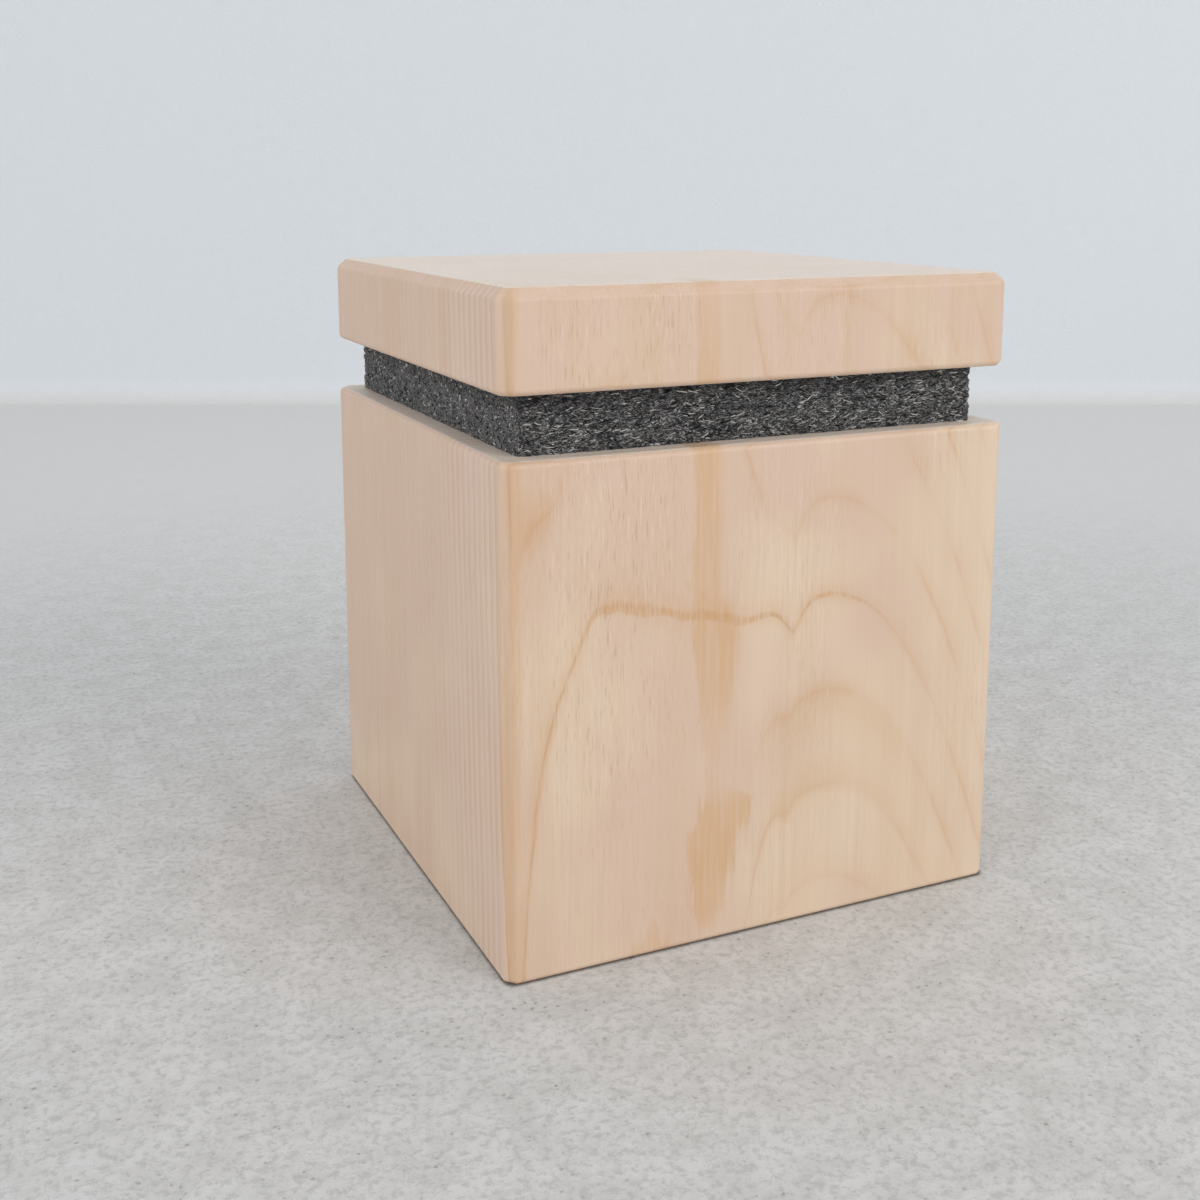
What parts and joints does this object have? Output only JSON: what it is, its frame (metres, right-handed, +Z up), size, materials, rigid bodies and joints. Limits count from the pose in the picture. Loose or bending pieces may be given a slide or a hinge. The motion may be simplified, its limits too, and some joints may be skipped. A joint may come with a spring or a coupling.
{
  "type": "wooden puzzle box",
  "caption": "Square solid-wood puzzle box: a thick felt band parts the body from a free-turning lid, which hidden steel pins lock until the box is spun.",
  "frame": {"origin": "middle of the base, on the surface that the box stands on", "axes": "+Z up, along the grain and the lid's turning axis; -Y is the front, the face with arched grain; -X is the left"},
  "size_m": [0.1, 0.1, 0.1172],
  "materials": {
    "block_wood": "satin, sanded solid pale hardwood with long grain upright",
    "plug_wood": "sanded solid hardwood",
    "plate_wood": "sanded birch plywood",
    "band_felt": "thick charcoal wool felt with pale fibres, cut edge showing",
    "lining_felt": "thin charcoal wool felt",
    "pin_steel": "ground steel",
    "screw_steel": "zinc-plated steel",
    "brass": "turned brass",
    "nylon": "natural nylon"
  },
  "bodies": {
    "box": {"body_block": "block_wood", "cavity_floor_felt": "lining_felt", "lock_channel_plate": "plate_wood", "lock_cover_plate": "plate_wood", "lock_frame_screws": "screw_steel", "felt_band": "band_felt"},
    "pin_front": {"lock_pin_front": "pin_steel"},
    "pin_back": {"lock_pin_back": "pin_steel"},
    "pin_left": {"lock_pin_left": "pin_steel"},
    "pin_right": {"lock_pin_right": "pin_steel"},
    "plug": {"plug_guide_block": "plug_wood", "plug_core": "plug_wood", "plug_retaining_plate": "plate_wood", "plug_screws": "screw_steel", "plug_lining_felt": "lining_felt", "pivot_bush": "brass", "slip_washer": "nylon"},
    "lid": {"lid_block": "block_wood", "threaded_insert": "brass", "pivot_bolt": "pin_steel", "thrust_washer": "pin_steel"}
  },
  "joints": [
    {"name": "lid_lift", "type": "slide", "parent": "box", "child": "plug", "axis": [0, 0, 1], "range_m": [0, 0.09]},
    {"name": "lid_turn", "type": "hinge", "parent": "plug", "child": "lid", "pos_m": [0, 0, 0.1], "axis": [0, 0, 1], "continuous": true},
    {"name": "pin_front_slide", "type": "slide", "parent": "box", "child": "pin_front", "axis": [0, 1, 0], "range_m": [0, 0.0055]},
    {"name": "pin_back_slide", "type": "slide", "parent": "box", "child": "pin_back", "axis": [0, -1, 0], "range_m": [0, 0.0055]},
    {"name": "pin_left_slide", "type": "slide", "parent": "box", "child": "pin_left", "axis": [1, 0, 0], "range_m": [0, 0.0055]},
    {"name": "pin_right_slide", "type": "slide", "parent": "box", "child": "pin_right", "axis": [-1, 0, 0], "range_m": [0, 0.0055]}
  ]
}
